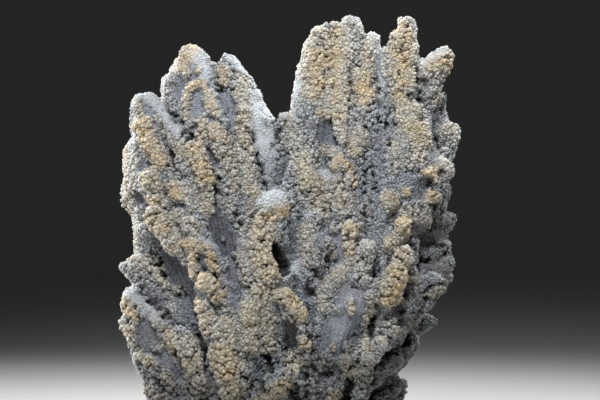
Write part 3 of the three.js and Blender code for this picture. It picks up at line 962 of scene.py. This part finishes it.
class SpecimenSizes(bpy.types.PropertyGroup):
    """Sizes of the surface's own detail."""

    voxel: bpy.props.FloatProperty(
        name="Skin quad",
        description="Side of the quads of the sculpted skin",
        default=0.00052,
        min=0.0003,
        unit="LENGTH",
    )
    filled_gap: bpy.props.FloatProperty(
        name="Filled gap",
        description="Cracks between the spires up to this width are grown shut",
        default=0.0018,
        unit="LENGTH",
    )
    sink: bpy.props.FloatProperty(
        name="Skin depth",
        description="How far the skin lies under the packed solid, to leave room for the druse",
        default=0.0001,
        unit="LENGTH",
    )
    clump: bpy.props.FloatProperty(
        name="Clump width",
        description="Width of one clump of druse crystals",
        default=0.0019,
        unit="LENGTH",
    )


# ---- the skin -----------------------------------------------------------------------------------
# Each function adds what it finds to the record "at", an array for each mark with one value for each
# point of the skin. Ridges, depths and hollows are millimetres; the rest are shares from 0 to 1.
def lay_of(mesh):
    """Even out the skin's steps, and say where each of its points lies and how it faces."""
    pairs = edges_of(mesh)
    points = corners_of(mesh)
    at = SimpleNamespace(on_foot=points[:, 2] < LOW.z + FOOT_BAND)
    points[at.on_foot, 2] = LOW.z
    at.base = averaged(points, pairs, 4)
    at.base[at.on_foot] = points[at.on_foot]
    place(mesh, at.base)
    at.normals = normals_of(mesh)
    at.flow = flow_of(at.base)
    # Crests and valleys of the spires themselves, and how squarely each place faces the front.
    at.broad = np.einsum("ij,ij->i", at.base - averaged(at.base, pairs, 120), at.normals)
    at.crest = step(0.0000, 0.0007, at.broad)
    at.valley = step(-0.0001, -0.0011, at.broad)
    at.front = step(0.3, -0.1, at.normals[:, 1])
    at.sideways = step(-0.45, -0.1, at.normals[:, 1])
    at.behind = step(0.0, 0.35, at.normals[:, 1])
    at.wild = 1 - at.front
    return at


def mark_front(at):
    """The tables' marks, which wander from their lines in the same way on every run."""
    noise.seed_set(3)
    wander = sampled(noise.noise_vector, at.base / (4.0 * MM)) * 0.8
    wander += sampled(noise.noise_vector, at.base / (1.5 * MM)) * 0.6
    places = at.base / MM + wander
    seams = [row[:5] for row in SEAMS]
    deep_seams = [row[:5] for row in SEAMS if row[5] > 3]
    at.ridge = 0.95 * domes(places, RIDGES) * at.front
    at.window = marks(places, [row[:5] for row in WINDOWS], 0.7, 1.25) * at.front
    at.dark = marks(places, WINDOWS, 0.7, 1.3) * at.front
    at.stain = marks(places, RIDGES, 0.2, 1.9) * at.front
    at.stain *= 0.7 + 0.5 * rolling(at.base / (3.0 * MM) + 3.3)
    # Seams are broken along their length, except the deepest.
    at.depth = marks(places, SEAMS, 0.2, 1.3) * at.front
    broken = step(-0.25, 0.2, rolling(at.base / (1.8 * MM) + 9.1))
    broken = np.maximum(broken, step(2.3, 3.0, at.depth))
    at.depth *= 0.4 + 0.6 * broken
    at.seam = marks(places, seams, 0.6, 1.3) * at.front * broken
    at.hole = marks(places, deep_seams, 0.75, 1.25) * (at.base[:, 1] < 0)
    at.hollow = marks(places, HOLLOWS, 0.3, 1.5)
    at.cream = 0.9 * marks(places, CREAM_FIELDS, 0.5, 1.3) * at.front
    # Painted shade on the lower right side and along the foot.
    at.dirty = marks(places, SHADED_FIELDS, 0.4, 1.4)
    at.pale = marks(places, RIM_LIGHT_EDGES, 0.3, 1.5) * at.front
    at.window *= 1 - step(0.15, 0.6, at.ridge)
    at.stain *= 1 - 0.8 * at.window


def mark_by_rule(at):
    """Ropes of crystals, furrows and bare faces along the fan, strongest on the sides and the back."""
    stretched = at.flow / (4.0, 17.0, 6.0)
    stretched[:, 0] += 0.4 * rolling(at.flow / 6.0)
    ropes = rolling(stretched + 11.3)
    at.ridge += (0.6 + 0.5 * at.wild) * step(-0.1, 0.45, ropes) * (1 - at.window)
    at.furrow = step(-0.12, -0.4, ropes) * (1 - 0.7 * at.crest)
    at.cream += at.wild * step(-0.25, 0.15, ropes)
    shown = step(0.3, 0.45, rolling(at.flow / (9.0, 16.0, 9.0) + 31.7))
    at.window = np.maximum(at.window, at.behind * shown * (1 - step(0.1, 0.5, ropes)))
    at.dark = np.maximum(at.dark, at.behind * shown * 0.3)
    rust = step(0.0, 0.6, rolling(at.flow / (9.0, 14.0, 9.0) - 17.1))
    at.stain = np.maximum(at.stain, rust * (0.5 * at.wild + 0.12) * step(-0.15, 0.3, ropes))
    # Painted rim light on the sideways crests and, fainter, all over the back.
    rim = np.maximum(0.55 * at.sideways * at.crest, 0.18 * at.behind)
    at.pale = np.maximum(at.pale, rim * (1 - 0.5 * at.stain))
    # Growth lines run down the bare faces, 1.7 mm apart.
    weave = 0.6 * rolling(at.flow / 5.0)
    at.groove = step(0.0, 0.8, np.sin(at.flow[:, 0] * 2 * math.pi / 1.7 + 4 * weave)) * at.window


def mark_clumps(at, clump_width):
    """Clumps a few crystals wide all over, with pits at their corners, more of them low down."""
    cells = at.base / MM / (clump_width / MM)
    near = sampled(lambda p: noise.voronoi(p)[0][:3], cells)
    at.clump = 1 - step(0.0, 0.62, near[:, 0])
    corner = 1 - step(0.03, 0.22, near[:, 2] - near[:, 0])
    at.patchy = rolling(at.base / (6.0 * MM) + 5.0)
    low = 0.6 * step(45 * MM, 20 * MM, at.base[:, 2])
    at.pit = corner * step(-0.3, 0.1, at.patchy + low) * (1 - at.window) * (1 - at.pale)
    at.roll = rolling(at.base / (7.0 * MM))


def raised(at, sink):
    """Where the marks move each point of the skin to: their heights are millimetres."""
    smooth = np.clip(1 - at.window - 0.8 * at.pale, 0, 1)
    height = at.ridge + 0.65 * at.clump * smooth + 0.4 * at.roll
    height -= 2.1 * at.pit + 0.8 * at.furrow * at.wild + 0.45 * at.window + 0.2 * at.groove + at.depth
    height -= at.hollow
    # Tips that the evening out has worn away grow back.
    height += 0.1 * np.clip(at.broad / MM, 0, 2)
    reach = step(LOW.z, LOW.z + FOOT_RISE, at.base[:, 2])
    moved = at.base + at.normals * ((height * MM - sink) * reach)[:, None]
    above = np.maximum(moved[:, 2], LOW.z + FOOT_EDGE)
    moved[:, 2] = np.where(at.on_foot, LOW.z, above)
    return moved


def keep_marks(mesh, at):
    """Store what the materials and the druse read from the skin."""
    # Seams, pits, holes and furrows: fewer crystals grow there, and their near-black colour is painted
    # shade.
    gap = np.clip(at.seam + at.pit + at.hole + 0.6 * at.furrow * at.wild, 0, 1)
    smooth = np.clip(1 - at.window - 0.8 * at.pale, 0, 1)
    # Painted shade: darker in the valleys, in the growth-line grooves of the bare faces, and in the shaded
    # fields.
    painted_shade = 0.45 * at.valley * smooth + 0.45 * at.groove * at.dark + 0.55 * at.dirty
    cool = 0.75 - 0.35 * at.behind + 0.4 * at.valley
    cool = cool - 0.6 * at.cream - 0.4 * at.ridge - 0.4 * at.stain + 0.4 * at.roll
    shades = {
        "stain": at.stain,
        "bare": at.window,
        "dark": at.dark,
        "pale": at.pale,
        "cool": cool,
        "cleft": gap + painted_shade,
    }
    for name, values in shades.items():
        store(mesh, name, np.clip(values, 0, 1))
    store(mesh, "across", at.flow[:, 0])
    # What grows where: nothing on the foot, fine sugar on bare faces, full crystals elsewhere.
    loose = 0.45 * (1 - at.clump) * (1 - at.behind)
    covers = {
        "knob_cover": at.ridge + at.patchy - 0.1 - at.pale - gap - at.window,
        "druse_cover": 1.0 - 1.1 * gap - 1.0 * at.window - 1.2 * at.pale - loose,
        "sugar_cover": 1.0 - 0.9 * gap - 0.3 * at.window - 0.4 * at.groove - 0.35 * at.pale,
    }
    clear = step(LOW.z + BARE_STRIP[0], LOW.z + BARE_STRIP[1], at.base[:, 2])
    for name, values in covers.items():
        store(mesh, name, np.clip(values, 0, 1) * clear)


def part_panels(mesh, at):
    """Number each face's panel, as its first corner lies, so that no piece of the coat is too big."""
    right = (at.base[:, 0] > PANEL_SEAM).astype(int)
    back = (at.normals[:, 1] > PANEL_SLOPE).astype(int)
    side = right + 2 * back
    first = np.empty(len(mesh.polygons), np.int32)
    mesh.polygons.foreach_get("loop_start", first)
    loops = np.empty(len(mesh.loops), np.int32)
    mesh.loops.foreach_get("vertex_index", loops)
    panel = mesh.attributes.new("panel", "INT", "FACE")
    panel.data.foreach_set("value", side[loops[first]].astype(np.int32))


def thinned(skin):
    """Thin the skin's mesh to its share of triangles."""
    thinner = skin.modifiers.new("Thinner", "DECIMATE")
    thinner.ratio = min(1.0, SKIN_TRIANGLES / (2 * len(skin.data.polygons)))
    light = plain_copy(skin, "calcite_spires_light")
    skin.modifiers.remove(thinner)
    skin.data = light.data
    bpy.data.objects.remove(light)
    skin.data.shade_smooth()


# ---- pieces -------------------------------------------------------------------------------------
class SPECIMEN_OT_skin(bpy.types.Operator):
    """Sculpt the spires' own surface: rounded crests, ropes, furrows, bare faces and clefts"""

    bl_idname = "specimen.skin"
    bl_label = "Spires"

    def execute(self, context):
        sizes = context.scene.specimen_sizes
        skin = filled(NODE, "calcite_spires", sizes.voxel, sizes.filled_gap)
        at = lay_of(skin.data)
        mark_front(at)
        mark_by_rule(at)
        mark_clumps(at, sizes.clump)
        place(skin.data, raised(at, sizes.sink))
        keep_marks(skin.data, at)
        part_panels(skin.data, at)
        thinned(skin)
        skin.data.materials.clear()
        skin.data.materials.append(massive_calcite(context.scene.specimen_colours))
        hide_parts(NODE)
        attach(skin, "root")
        return {"FINISHED"}


class SPECIMEN_OT_druse(bpy.types.Operator):
    """Grow the coat of millimetre crystals over the spires"""

    bl_idname = "specimen.druse"
    bl_label = "Druse"

    def execute(self, context):
        skin = bpy.data.objects["calcite_spires"]
        finish = druse_calcite(context.scene.specimen_colours)
        tree = druse_tree()
        bead = crystal("blunt_crystal", True)
        grain = crystal("fine_crystal", False)
        for number, side in enumerate(PANELS):
            behind = side.startswith("back")
            for kind, seed, ahead, rear, small, large, lift, brightest in COAT:
                made = grow(
                    skin,
                    f"{kind}_{side}",
                    tree,
                    Spacing=(rear if behind else ahead) * MM,
                    Small_radius=small * MM,
                    Large_radius=large * MM,
                    Lift=lift,
                    Brightest=brightest,
                    Cover=f"{kind}_cover",
                    Panel=number,
                    Seed=number + seed,
                    Crystal=grain if kind == "sugar" else bead,
                    Material=finish,
                )
                if not made.data.polygons:
                    raise RuntimeError(f"no {kind} crystals grew on {side}")
                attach(made, "root")
        for shape in (bead, grain):
            bpy.data.objects.remove(shape)
        return {"FINISHED"}


class SPECIMEN_OT_stage(bpy.types.Operator):
    """Set the paper sweep, the soft lamps and the camera"""

    bl_idname = "specimen.stage"
    bl_label = "Studio"

    def execute(self, context):
        scene = context.scene
        paper = paper_sweep(scene.specimen_colours)
        scene.collection.objects.link(paper)
        aim = Vector((0.014, 0, 0.115))
        for name, spot, width, power, spread, tint in LAMPS:
            lamp = bpy.data.lights.new(name, "AREA")
            lamp.size = width
            lamp.energy = power
            lamp.spread = math.radians(spread)
            lamp.color = tint
            held = bpy.data.objects.new(name, lamp)
            held.location = spot
            held.rotation_euler = (aim - Vector(spot)).to_track_quat("-Z", "Y").to_euler()
            scene.collection.objects.link(held)
        world = bpy.data.worlds.new("soft_room")
        world.use_nodes = True
        sky = world.node_tree.nodes["Background"].inputs
        sky["Color"].default_value = (0.8, 0.83, 0.88, 1)
        sky["Strength"].default_value = 0.07
        scene.world = world
        scene.view_settings.view_transform = "Standard"

        lens = bpy.data.cameras.new("front_camera")
        lens.lens = 110
        lens.sensor_width = 36
        lens.clip_start = 0.01
        camera = bpy.data.objects.new("front_camera", lens)
        camera.location = (0.0026, -0.55, 0.075)
        camera.rotation_euler = (math.radians(90), 0, 0)
        scene.collection.objects.link(camera)
        scene.camera = camera
        return {"FINISHED"}


class SPECIMEN_PT_panel(bpy.types.Panel):
    """Lists the specimen's settings and pieces"""

    bl_idname = "SPECIMEN_PT_panel"
    bl_label = "Calcite specimen"
    bl_space_type = "VIEW_3D"
    bl_region_type = "UI"
    bl_category = "Specimen"

    def draw(self, context):
        for settings in (context.scene.specimen_sizes, context.scene.specimen_colours):
            box = self.layout.box()
            for name in settings.__annotations__:
                box.prop(settings, name)
        for operator in PIECES:
            self.layout.operator(operator.bl_idname)


PIECES = (SPECIMEN_OT_skin, SPECIMEN_OT_druse, SPECIMEN_OT_stage)
CLASSES = (SpecimenColours, SpecimenSizes, *PIECES, SPECIMEN_PT_panel)


def register():
    for kind in CLASSES:
        bpy.utils.register_class(kind)
    bpy.types.Scene.specimen_colours = bpy.props.PointerProperty(type=SpecimenColours)
    bpy.types.Scene.specimen_sizes = bpy.props.PointerProperty(type=SpecimenSizes)


def unregister():
    del bpy.types.Scene.specimen_sizes
    del bpy.types.Scene.specimen_colours
    for kind in reversed(CLASSES):
        bpy.utils.unregister_class(kind)


def main():
    register()
    bpy.ops.specimen.skin()
    bpy.ops.specimen.druse()
    bpy.ops.specimen.stage()


if __name__ == "__main__":
    main()
